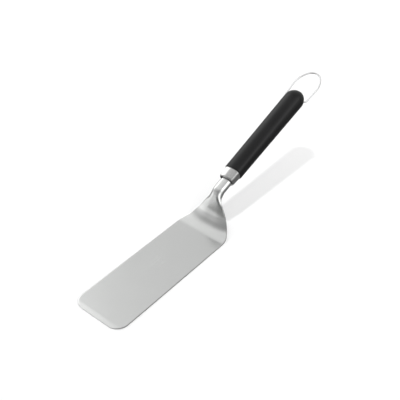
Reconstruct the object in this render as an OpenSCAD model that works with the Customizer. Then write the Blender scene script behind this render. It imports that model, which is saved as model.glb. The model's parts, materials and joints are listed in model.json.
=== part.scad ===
// Grill spatula: a stamped steel blade and neck, a handle built on its tang,
// and a wire hanging loop that swings at the end of the handle.
// X runs along the tool (tip at -X, loop at +X), Y across the blade, Z up.
// The blade lies flat on Z = 0, and the origin is below the middle of the whole tool.

/* [Blade] */
// Width of the blade
blade_w = 75; // [60:1:95]
// Length of the blade from its tip to the start of the foot bend
blade_l = 187; // [150:1:220]
// Thickness of the steel sheet
sheet_t = 1.5; // [1.2:0.1:2]
// Corner radius at the tip
tip_r = 16; // [4:0.5:20]
// Length of the bevel ground across the tip
bevel_l = 5.5; // [2:0.5:10]
// Thickness left at the bevelled edge
edge_t = 0.7; // [0.4:0.1:1]

/* [Shoulder and neck] */
// Inner radius of the bend at the foot of the shoulder
foot_r = 27.5; // [18:0.5:34]
// Steepest angle of the shoulder above the blade
rise_angle = 80; // [70:1:86]
// Straight length of the shoulder between its two bends
rise_l = 17; // [10:1:30]
// Outer radius of the bend at the top of the shoulder
crest_r = 16; // [12:0.5:22]
// Angle of the neck and handle above the blade
handle_angle = 18.9; // [10:0.1:30]
// Taper of each side of the shoulder
taper_angle = 32.5; // [28:0.5:38]
// Radius where the blade's side runs into the taper
corner_r = 22; // [10:1:30]
// Radius where the taper runs into the neck
fillet_r = 25; // [15:1:30]
// Width of the neck
neck_w = 16.8; // [13:0.2:17]
// Depth of the neck's channel section
channel_h = 7.2; // [5:0.2:7.6]
// Height of the neck's top face above the handle's axis
neck_up = 3.8; // [3:0.1:4]
// Straight length of the neck in front of the ferrule
neck_l = 14.8; // [8:0.1:30]

/* [Ferrule] */
// Visible length of the ferrule
ferrule_l = 15; // [10:0.5:20]
// Radius at the front of the ferrule
ferrule_r = 10.9; // [10:0.1:11]
// Radius at the back of the ferrule
ferrule_back_r = 11.7; // [11.5:0.1:12]
// Thickness of the ferrule's wall
ferrule_t = 0.8; // [0.6:0.1:1]
// Length of the ferrule that is tucked under the grip
ferrule_lip = 4; // [2:0.5:6]

/* [Handle] */
// Length of the handle, ferrule included
handle_l = 173.1; // [145:0.1:195]
// Radius at the front of the grip
grip_r = 12.8; // [12.5:0.1:13.5]
// Radius at the back of the grip
grip_back_r = 14.5; // [14:0.1:15]
// Thickness of the soft grip sleeve
sleeve_t = 2; // [1.6:0.1:2.2]
// Thickness of the hard core's wall
core_t = 2; // [1.6:0.1:2.2]
// Length of the tang inside the handle
tang_l = 95; // [80:1:110]

/* [Hanging loop] */
// Diameter of the loop's wire
wire_d = 2; // [1.6:0.1:2.4]
// Distance from the pivot to the middle of the wire at the loop's end
loop_l = 53.8; // [48:0.1:65]
// Half the loop's width, to the middle of the wire
loop_half_w = 18.3; // [17.5:0.1:20]
// Radius of the loop's end
loop_end_r = 13.5; // [12:0.1:14.5]
// Angle by which the loop's legs spread
loop_flare = 3.1; // [1:0.1:4]

/* [Hidden] */
$fn = 96;
reach = 300; // longer than any cut has to be
past = 1; // how far a cutter runs past the face that it opens
corner_steps = 12; // flats round each corner of the shoulder's outline
bend_steps = 24; // flats round each bend of the sheet

// ---- shoulder and neck in side view, from the start of the foot bend ----
// The sheet's top face is followed through the foot bend, the straight rise and the crest bend.
rise_start = [foot_r * sin(rise_angle), sheet_t + foot_r * (1 - cos(rise_angle))];
rise_end = rise_start + rise_l * [cos(rise_angle), sin(rise_angle)];
crest_centre = rise_end + crest_r * [sin(rise_angle), -cos(rise_angle)];
neck_start = crest_centre + crest_r * [-sin(handle_angle), cos(handle_angle)];
along = [cos(handle_angle), sin(handle_angle)];
tang_end = neck_start + (neck_l + tang_l) * along;

// ---- shoulder outline, drawn on a plane that leans as the shoulder does ----
lean = (rise_angle + handle_angle) / 2;
half_w = blade_w / 2;
half_neck = neck_w / 2;
corner_u = 7.3; // where the blade's side and the taper would meet
taper_u = corner_u + (half_w - half_neck) / tan(taper_angle);
// The turned-down edges start near the top of the rise, and are full part of the way round the crest
inward = [sin(rise_angle), -cos(rise_angle)]; // from the rise's top face into the sheet
edge_lead = 4.2; // length of the rise that they take up
edge_start = rise_end - edge_lead * [cos(rise_angle), sin(rise_angle)];
edge_full_angle = 50; // slope of the crest bend where the edges reach the channel's full depth

// ---- handle: its own frame starts on the axis at the ferrule's front face ----
handle_start = neck_start + neck_l * along - neck_up * [-along.y, along.x];
ferrule_crown = [7.5, 8.2]; // height of the flattened top at the ferrule's two ends
ferrule_crown_r = 27;
grip_crown = [10.2, 13.4]; // height of the flattened top at the grip's two ends
grip_crown_r = [20, 17];
grip_l = handle_l - ferrule_l;

// ---- inside the handle ----
plug_l = 26;
plug_x = handle_l - plug_l; // where the core ends and the plug begins
cap_l = 16; // length of the plug's domed cap, behind the sleeve
cap_x = handle_l - cap_l;
plug_spigot = 8; // length of the plug that is pushed into the core
plug_cavity_r = 6.5; // the plug is hollow from its front end
plug_cavity_l = 16;
spigot_gap = 0.1;
solid_nose = 24; // the core is solid up to here
slot_gap = 0.15; // play round the neck in the ferrule's slot
split_z = neck_up - channel_h; // the core's halves meet level with the channel's lower edges
rivet_x = [36, tang_l - 11];
rivet_r = 2;
rivet_head_r = 3.6;
rivet_head_t = 1.2;
rivet_sink = 0.5; // depth of the heads below the core's surface
boss_r = 5; // pillars of the core round the rivets
boss_lap = 1; // how far the pillars reach down into the lower half

// ---- hanging loop ----
wire_r = wire_d / 2;
pivot_inset = 12; // from the pivot to the back of the handle
pivot_x = handle_l - pivot_inset;
pivot_gap = 0.05; // radial play of the wire in the plug
seat_r = 2.2; // small flat sunk into the cap round each end of the wire
seat_y = 12.6; // distance of that flat from the middle
pin_inner = 6; // where the wire's ends stop, from the middle
pin_room = 1; // from the wire's ends to the bottoms of their holes
bend_r = 3.8; // radius of the wire's bend beside the handle
loop_end_x = pivot_x + loop_l;
bow_l = 27.3; // length of the rounded end, from its widest place
bow_x = loop_end_x - bow_l;
// Radius of the loop's sides, tangent to the end arc
side_r = (pow(bow_l, 2) + pow(loop_half_w, 2) - 2 * bow_l * loop_end_r)
    / (2 * (loop_half_w - loop_end_r));
// Half the angle that the end arc turns through
bow_angle = atan2(side_r - loop_half_w, bow_l - loop_end_r);
leg_start_x = pivot_x + bend_r * (1 - sin(loop_flare));
leg_end_x = bow_x - side_r * sin(loop_flare);
leg_end_y = loop_half_w - side_r * (1 - cos(loop_flare));
leg_l = (leg_end_x - leg_start_x) / cos(loop_flare);
leg_start_y = leg_end_y - leg_l * sin(loop_flare);
pin_outer = leg_start_y - bend_r * cos(loop_flare);
lap = 0.1; // how far joined lengths of wire run into each other
hair = 0.01;

// ---- place of the whole tool: origin below the middle of its length ----
tool_end_x = handle_start.x + loop_end_x * cos(handle_angle) + wire_r;
origin_x = (tool_end_x - blade_l) / 2;

// Points of an arc about c, from angle a0 to angle a1
function arc(c, r, a0, a1, steps) =
    [for (i = [0:steps]) let (a = a0 + (a1 - a0) * i / steps) c + r * [cos(a), sin(a)]];

function reversed(points) = [for (i = [len(points) - 1:-1:0]) points[i]];

// One side of the shoulder's outline, moved inward by a given amount
function shoulder_edge(inset) =
    let (
        shift = inset * tan(taper_angle / 2),
        r1 = corner_r - inset,
        r2 = fillet_r + inset,
        start = [corner_u - shift - r1 * tan(taper_angle / 2), half_w - inset],
        end = [taper_u - shift + r2 * tan(taper_angle / 2), half_neck - inset]
    )
    concat(
        [[-reach, half_w - inset]],
        arc(start - [0, r1], r1, 90, 90 - taper_angle, corner_steps),
        arc(end + [0, r2], r2, 270 - taper_angle, 270, corner_steps),
        [[reach, half_neck - inset]]
    );

// Side view of the sheet at a given depth below its top face: foot bend, then crest and neck
function foot_line(depth) =
    arc([0, sheet_t + foot_r], foot_r + depth, -90, rise_angle - 90, bend_steps);
function crest_line(depth, from = rise_angle) =
    concat(
        arc(crest_centre, crest_r - depth, 90 + from, 90 + handle_angle, bend_steps),
        [tang_end - depth * [-sin(handle_angle), cos(handle_angle)]]
    );

module both_sides() {
    children();
    mirror([0, 1, 0]) children();
}

// Places what was drawn from the start of the foot bend into the tool's frame
module tool() {
    translate([-origin_x, 0, 0]) children();
}

// Places a child at the front of the handle, turned to its angle
module handle_frame() {
    translate([handle_start.x, 0, handle_start.y]) rotate([0, -handle_angle, 0]) children();
}

// Handle frame: X along the handle from the ferrule's front face, Z up from its axis
module on_handle() {
    tool() handle_frame() children();
}

// ---- sheet metal ----

// A side view drawn out across the whole width of the blade, and a little beyond
module across(points) {
    translate([0, half_w + past, 0])
        rotate([90, 0, 0])
            linear_extrude(blade_w + 2 * past) polygon(points);
}

// The sheet before its outline is cut: bevelled tip, flat blade, bends and tang
module sheet_strip() {
    across(concat(
        [[-blade_l, 0], [-blade_l, edge_t], [bevel_l - blade_l, sheet_t]],
        foot_line(0),
        crest_line(0),
        reversed(crest_line(sheet_t)),
        reversed(foot_line(sheet_t))
    ));
}

// What the turned-down edges are cut from: they deepen over the crest to the channel's full depth
module channel_strip() {
    across(concat(
        [edge_start + sheet_t / 2 * inward],
        crest_line(sheet_t / 2),
        reversed(crest_line(channel_h, edge_full_angle)),
        [edge_start + sheet_t * inward]
    ));
}

// Cutter with the shoulder's outline, at right angles to the leaning plane
module outline_cutter(inset) {
    edge = shoulder_edge(inset);
    rotate([0, -lean, 0])
        translate([0, 0, -reach])
            linear_extrude(2 * reach)
                polygon(concat(edge, reversed([for (p = edge) [p.x, -p.y]])));
}

// What is taken off to round one corner of the tip
module tip_waste() {
    translate([-blade_l, half_w, 0])
        difference() {
            translate([-past, -tip_r, -past])
                cube([tip_r + past, tip_r + past, sheet_t + 2 * past]);
            translate([tip_r, -tip_r, -2 * past]) cylinder(r = tip_r, h = sheet_t + 4 * past);
        }
}

module blade() {
    color("lightgray") tool() difference() {
        union() {
            intersection() {
                sheet_strip();
                outline_cutter(0);
            }
            intersection() {
                channel_strip();
                difference() {
                    outline_cutter(0);
                    outline_cutter(sheet_t);
                }
            }
        }
        both_sides() tip_waste();
        handle_frame() rivet_shanks();
    }
}

// ---- handle forms: a cone with its top flattened by a much wider, tilted cone ----
// The wide cone runs on by the form's length at both ends, so that its tilt leaves no gap there.

module flattened_cone(x0, x1, r, crown, crown_r, inset) {
    l = x1 - x0;
    centre = crown - crown_r;
    tilt = atan2(centre[1] - centre[0], l);
    intersection() {
        translate([x0, 0, 0]) rotate([0, 90, 0])
            cylinder(h = l, r1 = r[0] - inset, r2 = r[1] - inset);
        translate([x0, 0, centre[0]])
            rotate([0, 90 - tilt, 0])
                translate([0, 0, -l])
                    cylinder(
                        h = 3 * l,
                        r1 = 2 * crown_r[0] - crown_r[1] - inset,
                        r2 = 2 * crown_r[1] - crown_r[0] - inset
                    );
    }
}

module ferrule_form(inset) {
    flattened_cone(
        0, ferrule_l, [ferrule_r, ferrule_back_r],
        ferrule_crown, [ferrule_crown_r, ferrule_crown_r], inset
    );
}

module grip_form(inset) {
    flattened_cone(
        ferrule_l, handle_l, [grip_r, grip_back_r],
        grip_crown, grip_crown_r, inset
    );
}

// The slice of a form between two places along the handle
module slice(x0, x1) {
    intersection() {
        children();
        translate([x0, -reach / 2, -reach / 2]) cube([x1 - x0, reach, reach]);
    }
}

module ferrule() {
    color("silver") on_handle() {
        difference() {
            ferrule_form(0);
            slice(ferrule_t, ferrule_l) ferrule_form(ferrule_t);
            translate([-past, -half_neck - slot_gap, split_z - slot_gap])
                cube([ferrule_t + 2 * past, neck_w + 2 * slot_gap, channel_h + 2 * slot_gap]);
        }
        difference() {
            slice(ferrule_l, ferrule_l + ferrule_lip) grip_form(sleeve_t - ferrule_t);
            grip_form(sleeve_t);
        }
    }
}

// ---- rivets through the core and the tang ----

function along_grip(ends, x) = ends[0] + (ends[1] - ends[0]) * (x - ferrule_l) / grip_l;
function rivet_top(x) = along_grip(grip_crown, x) - sleeve_t - rivet_sink;
function rivet_bottom(x) =
    rivet_sink - sqrt(pow(along_grip([grip_r, grip_back_r], x) - sleeve_t, 2) - pow(rivet_head_r, 2));

module rivet_shanks() {
    for (x = rivet_x)
        translate([x, 0, rivet_bottom(x)])
            cylinder(r = rivet_r, h = rivet_top(x) - rivet_bottom(x));
}

// Both heads of each rivet, or with depth the counterbores that let them in
module rivet_heads(depth) {
    for (x = rivet_x) {
        translate([x, 0, rivet_top(x) - rivet_head_t]) cylinder(r = rivet_head_r, h = depth);
        translate([x, 0, rivet_bottom(x) + rivet_head_t - depth])
            cylinder(r = rivet_head_r, h = depth);
    }
}

module tang_rivets() {
    color("darkgray") on_handle() {
        rivet_shanks();
        rivet_heads(rivet_head_t);
    }
}

// ---- core ----

// The core before it is split: hollow behind its solid nose, with a boss round each rivet
module core_body() {
    difference() {
        union() {
            slice(ferrule_t, ferrule_l) ferrule_form(ferrule_t);
            slice(ferrule_l, plug_x) grip_form(sleeve_t);
        }
        difference() {
            slice(solid_nose, plug_x + past) grip_form(sleeve_t + core_t);
            for (x = rivet_x) translate([x, 0, -reach / 2]) cylinder(r = boss_r, h = reach);
        }
    }
}

module core_upper() {
    color("dimgray") on_handle() difference() {
        core_body();
        translate([-reach / 2, -reach / 2, split_z - reach]) cube(reach);
        translate([-past, -half_neck, split_z - past])
            cube([tang_l + past, neck_w, channel_h + past]);
        rivet_shanks();
        rivet_heads(reach);
    }
}

// The lower half carries a tongue and two bosses that reach up inside the channel
module core_lower() {
    tongue_w = neck_w - 2 * sheet_t;
    tongue_h = channel_h - sheet_t;
    color("dimgray") on_handle() difference() {
        union() {
            difference() {
                core_body();
                translate([-reach / 2, -reach / 2, split_z]) cube(reach);
            }
            translate([ferrule_t, -tongue_w / 2, split_z])
                cube([solid_nose - ferrule_t, tongue_w, tongue_h]);
            for (x = rivet_x)
                translate([x, 0, split_z - boss_lap])
                    cylinder(r = boss_r, h = tongue_h + boss_lap);
        }
        rivet_shanks();
        rivet_heads(reach);
    }
}

// ---- grip and end plug ----

// Two round holes across the handle at the pivot, from a given distance off the middle
module pivot_holes(r, inner) {
    both_sides() translate([pivot_x, inner, 0]) rotate([-90, 0, 0]) cylinder(r = r, h = reach);
}

module grip_sleeve() {
    color("black") on_handle() difference() {
        slice(ferrule_l, cap_x) grip_form(0);
        slice(ferrule_l - past, ferrule_l + ferrule_lip) grip_form(sleeve_t - ferrule_t);
        grip_form(sleeve_t);
    }
}

// The cap carries the grip's form on to a dome
module plug_cap() {
    cap_r = along_grip([grip_r, grip_back_r], cap_x);
    intersection() {
        slice(cap_x, handle_l) grip_form(0);
        translate([cap_x, 0, 0]) scale([cap_l / cap_r, 1, 1]) rotate([0, 90, 0]) sphere(cap_r);
    }
}

module end_plug() {
    color("dimgray") on_handle() difference() {
        union() {
            plug_cap();
            slice(plug_x, cap_x) grip_form(sleeve_t);
            slice(plug_x - plug_spigot, plug_x) grip_form(sleeve_t + core_t + spigot_gap);
        }
        translate([plug_x - plug_spigot - past, 0, 0]) rotate([0, 90, 0])
            cylinder(r = plug_cavity_r, h = plug_cavity_l);
        pivot_holes(wire_r + pivot_gap, pin_inner - pin_room);
        pivot_holes(seat_r, seat_y);
    }
}

// ---- hanging loop, drawn in the handle's level plane ----
// Straight and end pieces run a little way into the bends between them, which are a hair thinner,
// so that the pieces join without faces that nearly coincide.

module wire_line(from, angle, l, lap0, lap1) {
    translate([from.x, from.y, 0]) rotate([0, 0, angle]) rotate([0, 90, 0])
        translate([0, 0, -lap0]) cylinder(r = wire_r, h = l + lap0 + lap1);
}

module wire_arc(centre, r, a0, a1, wire) {
    translate([centre.x, centre.y, 0]) rotate([0, 0, a0])
        rotate_extrude(angle = a1 - a0) translate([r, 0]) circle(wire);
}

module hang_loop() {
    end_angle = bow_angle + lap / loop_end_r * 180 / PI;
    color("gainsboro") on_handle() {
        both_sides() {
            wire_line([pivot_x, pin_inner], 90, pin_outer - pin_inner, 0, lap);
            wire_arc([pivot_x + bend_r, pin_outer], bend_r, 90 + loop_flare, 180, wire_r - hair);
            wire_line([leg_start_x, leg_start_y], loop_flare, leg_l, lap, lap);
            wire_arc([bow_x, loop_half_w - side_r], side_r, bow_angle, 90 + loop_flare, wire_r - hair);
        }
        wire_arc([loop_end_x - loop_end_r, 0], loop_end_r, -end_angle, end_angle, wire_r);
    }
}

blade();
ferrule();
core_upper();
core_lower();
tang_rivets();
grip_sleeve();
end_plug();
hang_loop();
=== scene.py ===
"""Grill spatula: a stamped steel blade and neck, a polished ferrule, a soft black grip
and a swinging wire loop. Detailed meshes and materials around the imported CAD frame."""

import json
import math

import bmesh
import bpy
from mathutils import Matrix, Vector


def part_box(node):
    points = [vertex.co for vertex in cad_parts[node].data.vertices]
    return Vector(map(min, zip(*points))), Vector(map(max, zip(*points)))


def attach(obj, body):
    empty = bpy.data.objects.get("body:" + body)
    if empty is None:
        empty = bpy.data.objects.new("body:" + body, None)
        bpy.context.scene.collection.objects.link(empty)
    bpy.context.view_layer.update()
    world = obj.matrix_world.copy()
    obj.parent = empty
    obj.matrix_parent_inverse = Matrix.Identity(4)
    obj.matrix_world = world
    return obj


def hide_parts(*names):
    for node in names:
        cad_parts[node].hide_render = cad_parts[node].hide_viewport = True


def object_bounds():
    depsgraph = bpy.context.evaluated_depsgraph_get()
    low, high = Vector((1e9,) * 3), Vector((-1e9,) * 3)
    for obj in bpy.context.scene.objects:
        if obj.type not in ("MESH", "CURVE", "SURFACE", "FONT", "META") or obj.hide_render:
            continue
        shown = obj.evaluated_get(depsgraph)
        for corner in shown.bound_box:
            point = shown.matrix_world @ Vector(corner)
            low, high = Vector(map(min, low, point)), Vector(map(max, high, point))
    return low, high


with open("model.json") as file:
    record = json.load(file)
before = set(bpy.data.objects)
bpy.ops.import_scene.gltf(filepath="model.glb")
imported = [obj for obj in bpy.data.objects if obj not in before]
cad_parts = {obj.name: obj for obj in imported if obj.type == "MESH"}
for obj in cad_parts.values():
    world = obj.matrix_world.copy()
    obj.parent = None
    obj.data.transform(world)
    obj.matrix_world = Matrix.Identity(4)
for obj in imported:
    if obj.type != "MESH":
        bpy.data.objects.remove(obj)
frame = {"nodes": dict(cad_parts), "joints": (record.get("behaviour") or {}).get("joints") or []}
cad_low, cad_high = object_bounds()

MM = 0.001
HALF_TURN = math.pi
QUARTER_TURN = math.pi / 2
TINY = 1e-9  # keeps a division away from zero

# ---------------------------------------------------------------- driving dimensions

SHEET_T = 1.5 * MM
EDGE_T = 0.7 * MM  # thickness left at the tip
BEVEL_L = 5.5 * MM
TIP_R = 16 * MM
BLADE_L = 187 * MM  # from the tip to the start of the foot bend
SHEET_EASE = 0.25 * MM  # radius of the eased cut edges

FOOT_R = 27.5 * MM
RISE_ANGLE = math.radians(80)
RISE_L = 17 * MM
CREST_R = 16 * MM
HANDLE_ANGLE = math.radians(18.9)
TAPER_ANGLE = math.radians(32.5)
CORNER_R = 22 * MM
CORNER_U = 7.3 * MM  # where the blade's side and the taper would meet, along the shoulder
FILLET_R = 25 * MM
NECK_W = 16.8 * MM
CHANNEL_H = 7.2 * MM
NECK_L = 14.8 * MM
NECK_UP = 3.8 * MM  # height of the neck's top face above the handle's axis
TANG_L = 95 * MM
# The shoulder is crowned across its width; its edges turn down fully over the crest.
CROWN_DROP = (1.4 * MM, 0.12 * MM)  # on the shoulder and on the neck
CROWN_SHARE = 0.95  # share of the sheet's width that curves
CROWN_SLOPES = (math.radians(15), math.radians(50))  # foot bend slopes over which the crown grows
FOLD_LEAD = 11 * MM  # length of the rise on which the edges start to turn down
FOLD_FULL_ANGLE = math.radians(45)  # slope of the crest where they are down fully
FOLD_EASE = 1.4  # how much slower than evenly they start
FOLD_R = 5.4 * MM

FERRULE_L = 15 * MM
FERRULE_R = (10.9 * MM, 11.7 * MM)
FERRULE_CROWN = (7.5 * MM, 8.2 * MM)
FERRULE_CROWN_R = (27 * MM, 27 * MM)
FERRULE_T = 0.8 * MM
FERRULE_LIP = 4 * MM  # length that is tucked under the grip
SLOT_GAP = 0.15 * MM  # play round the neck in the ferrule's front face
TUCK_GAP = 0.05 * MM  # from the tucked lip to the core

HANDLE_L = 173.1 * MM
GRIP_R = (12.8 * MM, 14.5 * MM)
GRIP_CROWN = (10.2 * MM, 13.4 * MM)
GRIP_CROWN_R = (20 * MM, 17 * MM)
SLEEVE_T = 2 * MM
GRIP_CORNER = 6 * MM  # soft corner between the grip's crown and its round part
CORE_T = 2 * MM
CAP_X = HANDLE_L - 16 * MM  # where the sleeve ends and the plug's domed cap begins
PLUG_X = HANDLE_L - 26 * MM  # where the core ends and the plug begins
PLUG_SPIGOT = 8 * MM
PLUG_CAVITY_R = 6.5 * MM
PLUG_CAVITY_L = 16 * MM
SPIGOT_GAP = 0.1 * MM  # play between the plug's spigot and the core

PIVOT_X = 161.1 * MM  # along the handle
WIRE_R = 1 * MM
PIN_INNER = 6 * MM  # where the wire's ends stop, from the middle
PIN_ROOM = 1 * MM  # from the wire's ends to the bottoms of their holes
SEAT_R = 2.2 * MM  # small flat sunk into the cap round each end of the wire
SEAT_Y = 12.6 * MM  # distance of that flat from the middle
SEAT_EASE = 0.3 * MM  # size of the eased edge where the hole meets that flat
PIVOT_GAP = 0.05 * MM  # radial play of the wire in the plug
LOOP_L = 53.8 * MM
LOOP_HALF_W = 18.3 * MM
LOOP_END_R = 13.5 * MM
LOOP_FLARE = math.radians(3.1)
BOW_L = 27.3 * MM  # length of the loop's rounded end, from its widest place
WIRE_BEND_R = 3.8 * MM

# ---------------------------------------------------------------- places, from the frame

blade_low, blade_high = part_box("blade")
swing = frame["joints"][0]
pivot = Vector(swing["pos_m"])
along = Vector((math.cos(HANDLE_ANGLE), 0, math.sin(HANDLE_ANGLE)))
handle_up = Vector((-math.sin(HANDLE_ANGLE), 0, math.cos(HANDLE_ANGLE)))
handle_start = pivot - PIVOT_X * along
handle_frame = Matrix(
    (
        (along.x, 0, handle_up.x, handle_start.x),
        (0, 1, 0, 0),
        (along.z, 0, handle_up.z, handle_start.z),
        (0, 0, 0, 1),
    )
)
tip_x = blade_low.x
foot_x = tip_x + BLADE_L
half_blade = blade_high.y


# ---------------------------------------------------------------- small tools


def lerp(ends, t):
    return ends[0] + (ends[1] - ends[0]) * t


def smooth(t):
    t = min(1.0, max(0.0, t))
    return t * t * (3 - 2 * t)


def spread(a, b, n):
    """n + 1 evenly spaced values from a to b."""
    return [a + (b - a) * i / n for i in range(n + 1)]


def arc(centre, r, a0, a1, n):
    return [
        (centre[0] + r * math.cos(a), centre[1] + r * math.sin(a)) for a in spread(a0, a1, n)
    ]


def new_piece(name, bm, material, body, node=None):
    """Turns a bmesh into a smooth-shaded piece that rides on a body and stands for a CAD node."""
    bmesh.ops.recalc_face_normals(bm, faces=bm.faces)
    mesh = bpy.data.meshes.new(name)
    bm.to_mesh(mesh)
    bm.free()
    for polygon in mesh.polygons:
        polygon.use_smooth = True
    piece = bpy.data.objects.new(name, mesh)
    bpy.context.scene.collection.objects.link(piece)
    mesh.materials.append(material)
    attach(piece, body)
    if node:
        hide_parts(node)
    return piece


def even_shading(piece):
    """Keeps wide faces flat in shading beside their narrow rounded edges."""
    weighted = piece.modifiers.new("even_shading", "WEIGHTED_NORMAL")
    weighted.weight = 100
    weighted.keep_sharp = True


def skin_rings(bm, rings, closed_ring, closed_path):
    """Quads between neighbouring rings of vertices."""
    count = len(rings[0])
    for i in range(len(rings) if closed_path else len(rings) - 1):
        a, b = rings[i], rings[(i + 1) % len(rings)]
        for j in range(count if closed_ring else count - 1):
            k = (j + 1) % count
            bm.faces.new((a[j], a[k], b[k], b[j]))


def cut(piece, cutter_bm, name):
    """Takes a closed shape out of a piece and applies the cut."""
    bmesh.ops.recalc_face_normals(cutter_bm, faces=cutter_bm.faces)
    mesh = bpy.data.meshes.new(name)
    cutter_bm.to_mesh(mesh)
    cutter_bm.free()
    cutter = bpy.data.objects.new(name, mesh)
    bpy.context.scene.collection.objects.link(cutter)
    boolean = piece.modifiers.new(name, "BOOLEAN")
    boolean.operation = "DIFFERENCE"
    boolean.solver = "EXACT"
    boolean.object = cutter
    depsgraph = bpy.context.evaluated_depsgraph_get()
    result = bpy.data.meshes.new_from_object(piece.evaluated_get(depsgraph))
    piece.modifiers.remove(boolean)
    piece.data = result
    bpy.data.objects.remove(cutter)


def lathe(bm, profile, place):
    """A closed turned solid: profile is (radius, height) pairs about the local Z of place."""
    sides = 32
    angles = spread(0, 2 * HALF_TURN, sides)[:-1]
    rings = []
    for r, h in profile:
        rings.append(
            [bm.verts.new(place @ Vector((r * math.cos(a), r * math.sin(a), h))) for a in angles]
        )
    skin_rings(bm, rings, True, False)
    for ring in (rings[0], rings[-1]):
        bm.faces.new(ring)


# ---------------------------------------------------------------- materials

EVEN = (1, 1, 1)  # a noise that is not stretched


def material_base(name):
    material = bpy.data.materials.new(name)
    material.use_nodes = True
    nodes, links = material.node_tree.nodes, material.node_tree.links
    return material, nodes, links, nodes["Principled BSDF"]


def noise(nodes, links, coordinates, stretch, scale, detail=4.0, roughness=0.5):
    """Noise in a stretched copy of the given coordinates; returns its factor."""
    mapping = nodes.new("ShaderNodeMapping")
    mapping.inputs["Scale"].default_value = stretch
    links.new(coordinates, mapping.inputs["Vector"])
    texture = nodes.new("ShaderNodeTexNoise")
    texture.inputs["Scale"].default_value = scale
    texture.inputs["Detail"].default_value = detail
    texture.inputs["Roughness"].default_value = roughness
    links.new(mapping.outputs["Vector"], texture.inputs["Vector"])
    return texture.outputs["Fac"]


def to_range(nodes, links, value, low, high, source=(0.3, 0.7)):
    node = nodes.new("ShaderNodeMapRange")
    node.inputs["From Min"].default_value = source[0]
    node.inputs["From Max"].default_value = source[1]
    node.inputs["To Min"].default_value = low
    node.inputs["To Max"].default_value = high
    links.new(value, node.inputs["Value"])
    return node.outputs["Result"]


def mixed_colour(nodes, links, factor, dark, light):
    ramp = nodes.new("ShaderNodeValToRGB")
    ramp.color_ramp.elements[0].color = (*dark, 1)
    ramp.color_ramp.elements[1].color = (*light, 1)
    links.new(factor, ramp.inputs["Fac"])
    return ramp.outputs["Color"]


def bump(nodes, links, height, distance, strength):
    node = nodes.new("ShaderNodeBump")
    node.inputs["Distance"].default_value = distance
    node.inputs["Strength"].default_value = strength
    links.new(height, node.inputs["Height"])
    return node.outputs["Normal"]


def metal(name, dark, light, roughness, grain, stretch, height=0.02 * MM):
    """Metal with a directional grain: streaks in colour, in roughness and in relief."""
    material, nodes, links, shader = material_base(name)
    shader.inputs["Metallic"].default_value = 1.0
    place = nodes.new("ShaderNodeTexCoord").outputs["Object"]
    streaks = noise(nodes, links, place, stretch, grain, detail=6.0, roughness=0.6)
    clouds = noise(nodes, links, place, EVEN, 22.0, detail=3.0)
    colour = to_range(nodes, links, streaks, 0.0, 1.0)
    links.new(mixed_colour(nodes, links, colour, dark, light), shader.inputs["Base Color"])
    rough = nodes.new("ShaderNodeMath")
    rough.operation = "ADD"
    links.new(to_range(nodes, links, streaks, *roughness), rough.inputs[0])
    links.new(to_range(nodes, links, clouds, -0.02, 0.02), rough.inputs[1])
    links.new(rough.outputs[0], shader.inputs["Roughness"])
    links.new(bump(nodes, links, streaks, height, 0.35), shader.inputs["Normal"])
    return material


def satin_steel():
    """The blade's brushed sheet, with its grain along the tool."""
    dark, light = (0.605, 0.612, 0.607), (0.645, 0.65, 0.642)
    return metal("satin_steel", dark, light, (0.22, 0.27), grain=60.0, stretch=(1, 45, 45))


def polished_steel():
    dark, light = (0.42, 0.42, 0.415), (0.52, 0.52, 0.515)
    return metal("polished_steel", dark, light, (0.08, 0.16), grain=90.0, stretch=(1, 6, 6))


def bright_wire():
    dark, light = (0.6, 0.6, 0.6), (0.72, 0.72, 0.72)
    return metal("bright_wire", dark, light, (0.16, 0.26), grain=220.0, stretch=(1, 4, 4))


def soft_rubber():
    """Matte black moulded rubber with a very fine grain and a faint handling sheen."""
    material, nodes, links, shader = material_base("soft_rubber")
    place = nodes.new("ShaderNodeTexCoord").outputs["Object"]
    grain = noise(nodes, links, place, EVEN, 2600.0, detail=2.0)
    wear = noise(nodes, links, place, (1, 2, 2), 38.0)
    tone = to_range(nodes, links, wear, 0.0, 1.0)
    colour = mixed_colour(nodes, links, tone, (0.005, 0.005, 0.0052), (0.0075, 0.0075, 0.0077))
    links.new(colour, shader.inputs["Base Color"])
    links.new(to_range(nodes, links, wear, 0.3, 0.38), shader.inputs["Roughness"])
    shader.inputs["Specular IOR Level"].default_value = 0.2
    links.new(bump(nodes, links, grain, 0.06 * MM, 0.5), shader.inputs["Normal"])
    return material


def moulded_plastic():
    """Hard black plastic with a fine spark-eroded texture."""
    material, nodes, links, shader = material_base("moulded_plastic")
    place = nodes.new("ShaderNodeTexCoord").outputs["Object"]
    grain = noise(nodes, links, place, EVEN, 1500.0, detail=3.0)
    tone = to_range(nodes, links, noise(nodes, links, place, EVEN, 60.0), 0.0, 1.0)
    colour = mixed_colour(nodes, links, tone, (0.012, 0.012, 0.013), (0.018, 0.018, 0.019))
    links.new(colour, shader.inputs["Base Color"])
    links.new(to_range(nodes, links, grain, 0.42, 0.55), shader.inputs["Roughness"])
    links.new(bump(nodes, links, grain, 0.05 * MM, 0.4), shader.inputs["Normal"])
    return material


def rivet_metal():
    dark, light = (0.6, 0.6, 0.61), (0.7, 0.7, 0.71)
    return metal(
        "rivet_metal", dark, light, (0.3, 0.45), grain=400.0, stretch=EVEN, height=0.03 * MM
    )


# ---------------------------------------------------------------- blade and neck

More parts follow.
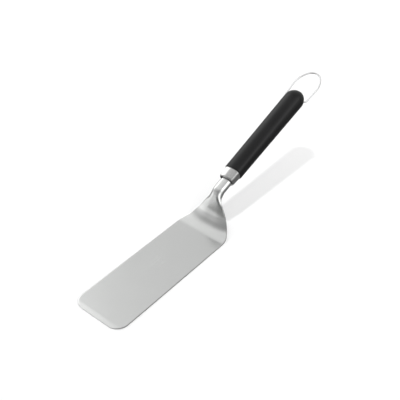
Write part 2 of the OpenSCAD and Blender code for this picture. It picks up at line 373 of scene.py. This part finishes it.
# The sheet's top face in side view: flat, foot bend, rise, crest bend, neck and tang.
rise_start = Vector(
    (foot_x + FOOT_R * math.sin(RISE_ANGLE), SHEET_T + FOOT_R * (1 - math.cos(RISE_ANGLE)))
)
rise_way = Vector((math.cos(RISE_ANGLE), math.sin(RISE_ANGLE)))
rise_end = rise_start + RISE_L * rise_way
crest_centre = rise_end + CREST_R * Vector((math.sin(RISE_ANGLE), -math.cos(RISE_ANGLE)))
LEAN = (RISE_ANGLE + HANDLE_ANGLE) / 2
half_neck = NECK_W / 2


def shoulder_half_width(u, inset):
    """Half the sheet's width at u along the leaning plane, with its edge moved in by inset."""
    taper = math.tan(TAPER_ANGLE)
    shift = inset * math.tan(TAPER_ANGLE / 2)
    r1, r2 = CORNER_R - inset, FILLET_R + inset
    wide, narrow = half_blade - inset, half_neck - inset
    corner_u = CORNER_U - shift
    taper_u = corner_u + (wide - narrow) / taper
    start = corner_u - r1 * math.tan(TAPER_ANGLE / 2)
    end = taper_u + r2 * math.tan(TAPER_ANGLE / 2)
    if u < start:
        return wide
    if u < start + r1 * math.sin(TAPER_ANGLE):
        return wide - r1 + math.sqrt(r1**2 - (u - start) ** 2)
    if u < end - r2 * math.sin(TAPER_ANGLE):
        return wide - (u - corner_u) * taper
    if u < end:
        return narrow + r2 - math.sqrt(r2**2 - (end - u) ** 2)
    return narrow


def leaning_u(point):
    return (point.x - foot_x) * math.cos(LEAN) + point.y * math.sin(LEAN)


def half_width(point, depth, angle, inset):
    """Half the width at a point of the side view, at some depth below the sheet's top face."""
    from_tip = point.x - tip_x
    if from_tip < TIP_R:
        r = TIP_R - inset
        return half_blade - TIP_R + math.sqrt(max(0.0, r**2 - (TIP_R - from_tip) ** 2))
    below = point + depth * Vector((math.sin(angle), -math.cos(angle)))
    return shoulder_half_width(leaning_u(below), inset)


def edge_shape(crown, fold):
    """Depth of the crown and of the turned-down edge at some shares of the way to each."""
    down = smooth(fold) ** FOLD_EASE
    crown_drop = smooth(crown) * lerp(CROWN_DROP, down)
    return crown_drop, (CHANNEL_H - SHEET_T) * down


def sheet_stations():
    """(point on the top face, slope, crown, edge depth) from the tip to the tang's end."""
    stations = []
    fold_l = FOLD_LEAD + CREST_R * (RISE_ANGLE - FOLD_FULL_ANGLE)
    # The rows close up towards the tip, where the rounded corners turn fastest.
    for a in spread(0, QUARTER_TURN, 14):
        x = SHEET_EASE + (TIP_R - SHEET_EASE) * (1 - math.cos(a))
        drop = (SHEET_T - EDGE_T) * max(0.0, 1 - x / BEVEL_L)
        stations.append((Vector((tip_x + x, SHEET_T - drop)), 0.0, *edge_shape(0, 0)))
    flat = spread(tip_x + TIP_R, foot_x, 34)
    stations += [(Vector((x, SHEET_T)), 0.0, *edge_shape(0, 0)) for x in flat[1:]]
    for a in spread(0, RISE_ANGLE, 40)[1:]:
        p = Vector((foot_x + FOOT_R * math.sin(a), SHEET_T + FOOT_R * (1 - math.cos(a))))
        crown = (a - CROWN_SLOPES[0]) / (CROWN_SLOPES[1] - CROWN_SLOPES[0])
        stations.append((p, a, *edge_shape(crown, 0)))
    for s in spread(0, RISE_L, 20)[1:]:
        edge = edge_shape(1, (s - RISE_L + FOLD_LEAD) / fold_l)
        stations.append((rise_start + s * rise_way, RISE_ANGLE, *edge))
    for a in spread(RISE_ANGLE, HANDLE_ANGLE, 28)[1:]:
        p = crest_centre + CREST_R * Vector((-math.sin(a), math.cos(a)))
        edge = edge_shape(1, (FOLD_LEAD + CREST_R * (RISE_ANGLE - a)) / fold_l)
        stations.append((p, a, *edge))
    neck_start = stations[-1][0].copy()
    way = Vector((math.cos(HANDLE_ANGLE), math.sin(HANDLE_ANGLE)))
    for s in spread(0, NECK_L, 10)[1:] + spread(NECK_L, NECK_L + TANG_L - SHEET_EASE, 30)[1:]:
        stations.append((neck_start + s * way, HANDLE_ANGLE, *edge_shape(1, 1)))
    return stations


def sheet_section(width, crown, turned, columns):
    """Half a cross-section of the sheet's top face: (y, depth, slope) from middle to edge.

    It is level in the middle, crowned towards the side, and its edge is turned down in a tight
    fold, below which it runs on as a flange once the fold has made a quarter turn."""
    crown_w = CROWN_SHARE * (width - FOLD_R)
    crown_slope = math.atan(2 * crown / crown_w)
    inner_r = FOLD_R - SHEET_T
    fold_slope = math.acos(max(0.0, math.cos(crown_slope) - turned / inner_r))
    flange = max(0.0, turned - inner_r * math.cos(crown_slope))
    level = width - crown_w - FOLD_R * (math.sin(fold_slope) - math.sin(crown_slope))
    fold_s = level + crown_w
    flange_s = fold_s + FOLD_R * (fold_slope - crown_slope)
    section = []
    for s in spread(0, flange_s + flange, columns):
        if s <= fold_s:
            share = max(0.0, s - level) / crown_w
            section.append((s, crown * share**2, crown_slope * share))
        else:
            slope = min(fold_slope, crown_slope + (s - fold_s) / FOLD_R)
            y = fold_s + FOLD_R * (math.sin(slope) - math.sin(crown_slope))
            depth = crown + FOLD_R * (math.cos(crown_slope) - math.cos(slope))
            section.append((y, depth + max(0.0, s - flange_s), slope))
    return section


def sheet_row(station, columns):
    """Points of the top and the bottom face across the sheet at one station."""
    point, angle, crown, turned = station
    up = Vector((-math.sin(angle), 0, math.cos(angle)))
    middle = Vector((point.x, 0, point.y))
    # On the flat the bottom face stays on the ground, so that the bevel thins the sheet.
    thickness = point.y if angle == 0 else SHEET_T
    top_width = half_width(point, 0, angle, SHEET_EASE)
    tops, bottoms = [], []
    for y, depth, slope in sheet_section(top_width, crown, turned, columns):
        tucked = top_width - half_width(point, depth, angle, SHEET_EASE) if depth else 0.0
        share = y / top_width
        y -= tucked * share
        tops.append(middle + Vector((0, y, 0)) - depth * up)
        inward = thickness * math.sin(slope)
        down = thickness * math.cos(slope)
        bottoms.append(middle + Vector((0, y - inward, 0)) - (depth + down) * up)
    return mirrored_row(tops), mirrored_row(bottoms)


def mirrored_row(half):
    return [Vector((p.x, -p.y, p.z)) for p in reversed(half[1:])] + half


def sheet_rim(tops, bottoms):
    """The outline's points, in order, as (top point, bottom point) pairs all round the sheet."""
    right = [(t[0], b[0]) for t, b in zip(tops, bottoms)]
    left = [(t[-1], b[-1]) for t, b in zip(tops, bottoms)]
    front = list(zip(tops[0], bottoms[0]))
    back = list(zip(tops[-1], bottoms[-1]))
    return front[:-1] + left[:-1] + back[:0:-1] + right[:0:-1]


def sheet_face(bm, rows, columns, side, unrolled):
    """Skins the top (0) or the bottom (1) face; notes each vertex's place on the unrolled sheet."""
    grid = []
    length = 0.0
    for i, row in enumerate(rows):
        if i:
            length += (row[0][columns] - rows[i - 1][0][columns]).length
        points = row[side]
        steps = [(q - p).length for p, q in zip(points, points[1:])]
        across = [sum(steps[:j]) for j in range(len(points))]
        line = [bm.verts.new(p) for p in points]
        for vertex, distance in zip(line, across):
            unrolled[vertex] = (length, distance - across[-1] / 2)
        grid.append(line)
    skin_rings(bm, grid, False, False)
    return grid


def rounded_edge(bm, outline, unrolled):
    """Joins the two faces all round by a cut edge that is rounded from top to bottom."""
    steps = 5
    loops = [[top for top, bottom in outline]]
    loops += [[] for k in range(1, steps)]
    for i, (top, bottom) in enumerate(outline):
        before, after = outline[i - 1], outline[(i + 1) % len(outline)]
        run = (after[0].co - before[0].co).normalized()
        through = (top.co - bottom.co).normalized()
        outward = run.cross(through).normalized()
        for k in range(1, steps):
            a = HALF_TURN * k / steps
            share = (1 - math.cos(a)) / 2
            bulge = SHEET_EASE * math.sqrt(math.sin(a))
            vertex = bm.verts.new(top.co.lerp(bottom.co, share) + bulge * outward)
            unrolled[vertex] = unrolled[top]
            loops[k].append(vertex)
    loops.append([bottom for top, bottom in outline])
    skin_rings(bm, loops, True, False)


def blade():
    """One closed sheet: top and bottom faces joined by a rounded edge, with an unrolled UV map."""
    columns = 26
    rows = [sheet_row(station, columns) for station in sheet_stations()]
    bm = bmesh.new()
    uv = bm.loops.layers.uv.new("sheet")
    unrolled = {}
    grids = [sheet_face(bm, rows, columns, side, unrolled) for side in (0, 1)]
    rounded_edge(bm, sheet_rim(*grids), unrolled)
    for face in bm.faces:
        for loop in face.loops:
            loop[uv].uv = unrolled[loop.vert]
    return new_piece("blade_sheet", bm, satin_steel(), "spatula", "blade")


# ---------------------------------------------------------------- ferrule and grip


def crowned_section(r, crown, crown_r, fillet, counts):
    """A circle whose top is cut by a wider arc, with rounded corners: (y, z) points."""
    centre = crown - crown_r
    # The corner arc touches both circles from inside.
    to_axis, to_centre = r - fillet, crown_r - fillet
    z = (to_axis**2 - to_centre**2 + centre**2) / (2 * centre)
    y = math.sqrt(to_axis**2 - z**2)
    low = math.atan2(z, y)
    high = math.atan2(z - centre, y)
    half = arc((0, 0), r, -QUARTER_TURN, low, counts[0])
    half += arc((y, z), fillet, low, high, counts[1])[1:]
    half += arc((0, centre), crown_r, high, QUARTER_TURN, counts[2])[1:]
    return half + [(-p[0], p[1]) for p in reversed(half[1:-1])]


def handle_ring(bm, x, share, inset, forms, fillet, counts):
    """One ring of vertices round the handle; share runs from 0 to 1 along the form."""
    r, crown, crown_r = (lerp(form, share) for form in forms)
    points = crowned_section(r - inset, crown - inset, crown_r - inset, fillet, counts)
    return [bm.verts.new(handle_frame @ Vector((x, y, z))) for y, z in points]


def rounded_corner(x, inset, r, a0, a1, n):
    """Path points round a corner whose arc centre is at (x, inset)."""
    return [(x + r * math.cos(a), inset + r * math.sin(a)) for a in spread(a0, a1, n)]


GRIP_FORMS = (GRIP_R, GRIP_CROWN, GRIP_CROWN_R)
FERRULE_FORMS = (FERRULE_R, FERRULE_CROWN, FERRULE_CROWN_R)
# Steps round half of a ring: along its round part, its corner and its crown
GRIP_COUNTS = (44, 18, 22)
FERRULE_COUNTS = (30, 6, 16)


def grip_share(x):
    """How far x lies along the grip's form, from its front (0) to the end of the handle (1)."""
    return (x - FERRULE_L) / (HANDLE_L - FERRULE_L)


def ferrule_ring(bm, x, inset, corner):
    share = x / FERRULE_L
    return handle_ring(bm, x, share, inset, FERRULE_FORMS, corner, FERRULE_COUNTS)


def ferrule():
    """Polished collar: a turned-in front lip, a crowned tube and a lip tucked under the grip."""
    lip_l, lip_h = 2.4 * MM, 0.9 * MM
    corner = 0.7 * MM
    front = [
        (lip_l * (1 - math.cos(a)), lip_h * (1 - math.sin(a))) for a in spread(0, QUARTER_TURN, 12)
    ]
    outside = [(x, 0.0) for x in spread(lip_l, FERRULE_L, 14)[1:]]
    inside = [(x, FERRULE_T) for x in spread(FERRULE_L, FERRULE_T, 10)]
    tucked_outside, tucked_inside = SLEEVE_T - FERRULE_T, SLEEVE_T - TUCK_GAP
    bm = bmesh.new()
    rings = []
    for x, inset in front + outside:
        rings.append(ferrule_ring(bm, x, inset, corner))
    lip_end = FERRULE_L + FERRULE_LIP
    for x, inset in [
        (FERRULE_L, tucked_outside),
        (lip_end, tucked_outside),
        (lip_end, tucked_inside),
        (FERRULE_L, tucked_inside),
    ]:
        share = grip_share(x)
        rings.append(handle_ring(bm, x, share, inset, GRIP_FORMS, corner, FERRULE_COUNTS))
    for x, inset in inside:
        rings.append(ferrule_ring(bm, x, inset, corner))
    # The front face runs in to the neck.
    rings.append(front_opening(bm, rings[0]))
    skin_rings(bm, rings, True, True)
    return new_piece("ferrule_collar", bm, polished_steel(), "spatula", "ferrule")


def front_opening(bm, outer):
    """A ring round the neck's channel, in the plane of the collar's front face."""
    half_w = half_neck + SLOT_GAP
    top, bottom = NECK_UP + SLOT_GAP, NECK_UP - CHANNEL_H - SLOT_GAP
    middle = (top + bottom) / 2
    half_h = (top - bottom) / 2
    to_handle = handle_frame.inverted()
    ring = []
    for vertex in outer:
        p = to_handle @ vertex.co
        y, z = p.y, p.z - middle
        scale = min(half_w / max(abs(y), TINY), half_h / max(abs(z), TINY))
        ring.append(bm.verts.new(handle_frame @ Vector((0.0, y * scale, middle + z * scale))))
    return ring


def grip_ring(bm, x, inset):
    corner = GRIP_CORNER - inset
    return handle_ring(bm, x, grip_share(x), inset, GRIP_FORMS, corner, GRIP_COUNTS)


def grip(rubber):
    """Soft sleeve: eased rims and a crowned top with a soft corner."""
    front_r, back_r = 0.5 * MM, 0.2 * MM
    front = rounded_corner(FERRULE_L + front_r, front_r, front_r, -HALF_TURN, -QUARTER_TURN, 5)
    outside = [(x, 0.0) for x in spread(FERRULE_L + front_r, CAP_X - back_r, 60)[1:-1]]
    back = rounded_corner(CAP_X - back_r, back_r, back_r, -QUARTER_TURN, 0, 4)
    inside = [(x, SLEEVE_T) for x in spread(CAP_X, FERRULE_L, 30)]
    bm = bmesh.new()
    rings = [grip_ring(bm, x, inset) for x, inset in front + outside + back + inside]
    skin_rings(bm, rings, True, True)
    return new_piece("grip_cover", bm, rubber, "spatula", "grip_sleeve")


def end_plug(rubber):
    """Hollow plug with a domed cap that carries the grip's form on to the end."""
    ease = 0.2 * MM
    r, crown, crown_r = (lerp(form, grip_share(CAP_X)) for form in GRIP_FORMS)
    outline = crowned_section(r, crown, crown_r, GRIP_CORNER, GRIP_COUNTS)
    bm = bmesh.new()

    def scaled_ring(x, scales):
        return [
            bm.verts.new(handle_frame @ Vector((x, y * k, z * k)))
            for (y, z), k in zip(outline, scales)
        ]

    cavity = [PLUG_CAVITY_R / math.hypot(y, z) for y, z in outline]
    spigot_x = PLUG_X - PLUG_SPIGOT
    spigot = SLEEVE_T + CORE_T + SPIGOT_GAP
    cavity_end = spigot_x + PLUG_CAVITY_L - ease
    rings = [scaled_ring(x, cavity) for x in spread(cavity_end, spigot_x, 6)]
    rings.append(grip_ring(bm, spigot_x, spigot))
    rings.append(grip_ring(bm, PLUG_X, spigot))
    rings.append(grip_ring(bm, PLUG_X, SLEEVE_T))
    rings.append(grip_ring(bm, CAP_X, SLEEVE_T))
    dome_l = HANDLE_L - CAP_X
    rings.append(scaled_ring(CAP_X, [1 - ease / r] * len(outline)))
    for a in spread(math.asin(ease / dome_l), QUARTER_TURN, 28)[:-1]:
        x = CAP_X + dome_l * math.sin(a)
        rings.append(scaled_ring(x, [math.cos(a)] * len(outline)))
    skin_rings(bm, rings, True, False)
    bm.faces.new(rings[0])
    tip = bm.verts.new(handle_frame @ Vector((HANDLE_L, 0, 0)))
    for j, vertex in enumerate(rings[-1]):
        bm.faces.new((vertex, rings[-1][(j + 1) % len(outline)], tip))
    piece = new_piece("end_cap", bm, rubber, "spatula", "end_plug")
    cut(piece, wire_holes(), "wire_holes")
    return piece


def wire_holes():
    """Two blind holes across the plug at the pivot, each with a small sunk flat round its mouth."""
    hole_r = WIRE_R + PIVOT_GAP
    bm = bmesh.new()
    for side in (-1, 1):
        place = Matrix.Translation(pivot) @ Matrix.Rotation(-side * QUARTER_TURN, 4, "X")
        profile = [
            (hole_r, PIN_INNER - PIN_ROOM),
            (hole_r, SEAT_Y - SEAT_EASE),
            (hole_r + SEAT_EASE, SEAT_Y),
            (SEAT_R, SEAT_Y),
            (SEAT_R, 2 * SEAT_Y),
        ]
        lathe(bm, profile, place)
    return bm


# ---------------------------------------------------------------- hanging loop


def loop_line():
    """Half of the wire's centre line in the loop's plane, as (along, across) from pin to end."""
    bow_x = PIVOT_X + LOOP_L - BOW_L
    side_r = (BOW_L**2 + LOOP_HALF_W**2 - 2 * BOW_L * LOOP_END_R) / (2 * (LOOP_HALF_W - LOOP_END_R))
    side_centre = (bow_x, LOOP_HALF_W - side_r)
    bow_angle = math.atan2(side_r - LOOP_HALF_W, BOW_L - LOOP_END_R)
    leg_start_x = PIVOT_X + WIRE_BEND_R * (1 - math.sin(LOOP_FLARE))
    leg_end = (
        side_centre[0] - side_r * math.sin(LOOP_FLARE),
        side_centre[1] + side_r * math.cos(LOOP_FLARE),
    )
    leg_start_y = leg_end[1] - (leg_end[0] - leg_start_x) * math.tan(LOOP_FLARE)
    bend_centre = (PIVOT_X + WIRE_BEND_R, leg_start_y - WIRE_BEND_R * math.cos(LOOP_FLARE))
    pin = [(PIVOT_X, y) for y in spread(PIN_INNER, bend_centre[1], 8)]
    bend = arc(bend_centre, WIRE_BEND_R, HALF_TURN, QUARTER_TURN + LOOP_FLARE, 14)
    leg = [
        (lerp((leg_start_x, leg_end[0]), t), lerp((leg_start_y, leg_end[1]), t))
        for t in spread(0, 1, 6)
    ]
    side = arc(side_centre, side_r, QUARTER_TURN + LOOP_FLARE, bow_angle, 26)
    end_centre = (PIVOT_X + LOOP_L - LOOP_END_R, 0)
    end = arc(end_centre, LOOP_END_R, bow_angle, 0, 22)
    return pin + bend[1:] + leg[1:] + side[1:] + end[1:]


def hanging_loop():
    """Round wire swept along its centre line, with eased ends inside the handle."""
    half = loop_line()
    line = half + [(x, -y) for x, y in reversed(half[:-1])]
    sides = 28
    ease = 0.2 * MM
    bm = bmesh.new()
    rings = []

    def ring(x, y, heading, r):
        across = Vector((-math.sin(heading), math.cos(heading), 0))
        angles = spread(0, 2 * HALF_TURN, sides)[:-1]
        points = [
            Vector((x, y, 0)) + r * (math.cos(a) * across + math.sin(a) * Vector((0, 0, 1)))
            for a in angles
        ]
        rings.append([bm.verts.new(handle_frame @ p) for p in points])

    last = len(line) - 1
    for i, (x, y) in enumerate(line):
        x0, y0 = line[max(0, i - 1)]
        x1, y1 = line[min(last, i + 1)]
        heading = math.atan2(y1 - y0, x1 - x0)
        if i == 0:
            ring(x, y, heading, WIRE_R - ease)
            y += ease
        if i == last:
            y += ease
        ring(x, y, heading, WIRE_R)
        if i == last:
            ring(x, y - ease, heading, WIRE_R - ease)
    skin_rings(bm, rings, True, False)
    bm.faces.new(rings[0])
    bm.faces.new(rings[-1])
    return new_piece("wire_loop", bm, bright_wire(), "loop", "hang_loop")


# ---------------------------------------------------------------- hidden CAD pieces


def finish_node(node, material):
    """Gives a CAD node that stays its own material."""
    slots = frame["nodes"][node].data.materials
    slots.clear()
    slots.append(material)


# ---------------------------------------------------------------- studio

# What the steel mirrors: (direction, angle where it is full, angle where it ends, added strength)
PANELS = [
    ((-0.04, 0.50, 0.87), 14, 34, 0.2),  # overhead softbox
    ((0.10, 0.25, 0.97), 6, 22, -0.15),  # gap beside it
    ((-0.67, 0.74, 0.00), 10, 24, 0.3),  # light wall on the left of the tip
    ((-0.66, 0.14, 0.73), 14, 32, -0.44),  # dim wall beyond the tip, upper part
    ((-0.98, 0.23, -0.03), 15, 33, -0.35),  # dim wall beyond the tip, lower part
    ((-0.68, 0.57, -0.47), 20, 40, 0.9),  # bright tabletop beyond the tip
    ((0.13, 0.86, 0.50), 14, 27, 1.5),  # tall panel on the left
    ((0.16, -0.70, 0.70), 12, 30, 1.6),  # panel on the right
    ((-0.64, -0.75, 0.15), 14, 32, 1.2),  # panel on the right, beside the tip
]
SKY, GROUND = 0.81, 0.22
HORIZON = (-0.12, 0.06)  # heights between which the ground runs into the sky
KEY_PLACE = (77, 13, 420)  # millimetres
KEY_POWER = 1.75
KEY_R = 12 * MM
FLOOR_HALF = 12.0
FLOOR_GLOW = 0.3
GLOW_RANGE = (0.25, 1.0)  # distances from the middle between which the floor starts to glow
BACKDROP_R = 11.0

CAMERA_LENS, CAMERA_SENSOR = 62.72, 36.0
CAMERA_AZIMUTH, CAMERA_ELEVATION = math.radians(-50.5), math.radians(38.96)
CAMERA_DISTANCE = 961.85 * MM
CAMERA_AIM = (17.78 * MM, 43.37 * MM)  # place on the floor, from the middle of the tool


def surroundings():
    """A white room with a few large soft panels, seen only by light and in reflections."""
    world = bpy.data.worlds.new("studio")
    bpy.context.scene.world = world
    world.use_nodes = True
    nodes, links = world.node_tree.nodes, world.node_tree.links
    direction = nodes.new("ShaderNodeTexCoord").outputs["Generated"]
    parts = nodes.new("ShaderNodeSeparateXYZ")
    links.new(direction, parts.inputs["Vector"])
    total = eased(nodes, links, parts.outputs["Z"], HORIZON, (GROUND, SKY))
    for toward, full, ends, strength in PANELS:
        dot = nodes.new("ShaderNodeVectorMath")
        dot.operation = "DOT_PRODUCT"
        dot.inputs[1].default_value = Vector(toward).normalized()
        links.new(direction, dot.inputs[0])
        edge = (math.cos(math.radians(ends)), math.cos(math.radians(full)))
        panel = eased(nodes, links, dot.outputs["Value"], edge, (0.0, strength))
        add = nodes.new("ShaderNodeMath")
        add.operation = "ADD"
        links.new(total, add.inputs[0])
        links.new(panel, add.inputs[1])
        total = add.outputs[0]
    links.new(total, nodes["Background"].inputs["Strength"])
    nodes["Background"].inputs["Color"].default_value = (1, 1, 1, 1)


def eased(nodes, links, value, source, target):
    node = nodes.new("ShaderNodeMapRange")
    node.interpolation_type = "SMOOTHSTEP"
    node.inputs["From Min"].default_value = source[0]
    node.inputs["From Max"].default_value = source[1]
    node.inputs["To Min"].default_value = target[0]
    node.inputs["To Max"].default_value = target[1]
    links.new(value, node.inputs["Value"])
    return node.outputs["Result"]


def stage_piece(name, bm, material):
    mesh = bpy.data.meshes.new(name)
    bm.to_mesh(mesh)
    bm.free()
    piece = bpy.data.objects.new(name, mesh)
    bpy.context.scene.collection.objects.link(piece)
    mesh.materials.append(material)
    return piece


def floor():
    """Plain pale floor. It glows a little outside the lamp's pool, so that it stays white."""
    far = FLOOR_HALF
    corners = [(-far, -far), (far, -far), (far, far), (-far, far)]
    bm = bmesh.new()
    bm.faces.new([bm.verts.new((x, y, 0)) for x, y in corners])
    material, nodes, links, shader = material_base("pale_floor")
    shader.inputs["Base Color"].default_value = (0.86, 0.86, 0.86, 1)
    shader.inputs["Roughness"].default_value = 1.0
    shader.inputs["Specular IOR Level"].default_value = 0.0
    shader.inputs["Emission Color"].default_value = (1, 1, 1, 1)
    away = nodes.new("ShaderNodeVectorMath")
    away.operation = "LENGTH"
    links.new(nodes.new("ShaderNodeTexCoord").outputs["Object"], away.inputs[0])
    glow = eased(nodes, links, away.outputs["Value"], GLOW_RANGE, (0.0, FLOOR_GLOW))
    links.new(glow, shader.inputs["Emission Strength"])
    plane = stage_piece("floor", bm, material)
    plane.visible_glossy = False


def backdrop():
    """White dome that only the camera sees, so that the floor runs into white at every angle."""
    bm = bmesh.new()
    bmesh.ops.create_icosphere(bm, subdivisions=4, radius=BACKDROP_R)
    material, _, _, shader = material_base("backdrop_white")
    shader.inputs["Base Color"].default_value = (0, 0, 0, 1)
    shader.inputs["Specular IOR Level"].default_value = 0.0
    shader.inputs["Emission Color"].default_value = (1, 1, 1, 1)
    shader.inputs["Emission Strength"].default_value = 1.0
    dome = stage_piece("backdrop", bm, material)
    dome.visible_glossy = False
    dome.visible_diffuse = False
    dome.visible_transmission = False
    dome.visible_shadow = False


def key_lamp():
    """A small lamp above the handle, which throws its widened shadow on the floor."""
    lamp = bpy.data.lights.new("key", "POINT")
    lamp.energy = KEY_POWER
    lamp.shadow_soft_size = KEY_R
    key = bpy.data.objects.new("key", lamp)
    key.location = Vector(KEY_PLACE) * MM
    key.visible_glossy = False
    bpy.context.scene.collection.objects.link(key)


def studio():
    surroundings()
    floor()
    backdrop()
    key_lamp()
    bpy.context.scene.view_settings.view_transform = "Standard"


def camera():
    data = bpy.data.cameras.new("camera")
    data.lens = CAMERA_LENS
    data.sensor_width = CAMERA_SENSOR
    data.clip_start, data.clip_end = 0.01, 50.0
    view = bpy.data.objects.new("camera", data)
    level = math.cos(CAMERA_ELEVATION)
    back = Vector(
        (
            math.sin(CAMERA_AZIMUTH) * level,
            -math.cos(CAMERA_AZIMUTH) * level,
            math.sin(CAMERA_ELEVATION),
        )
    )
    middle = (cad_low.x + cad_high.x) / 2
    target = Vector((middle + CAMERA_AIM[0], CAMERA_AIM[1], 0))
    view.rotation_mode = "QUATERNION"
    view.location = target + CAMERA_DISTANCE * back
    view.rotation_quaternion = (-back).to_track_quat("-Z", "Y")
    bpy.context.scene.collection.objects.link(view)
    bpy.context.scene.camera = view


# ---------------------------------------------------------------- build

camera()
studio()
even_shading(blade())
even_shading(ferrule())
rubber = soft_rubber()
even_shading(grip(rubber))
even_shading(end_plug(rubber))
hanging_loop()
core = moulded_plastic()
for node in ("core_upper", "core_lower"):
    finish_node(node, core)
finish_node("tang_rivets", rivet_metal())
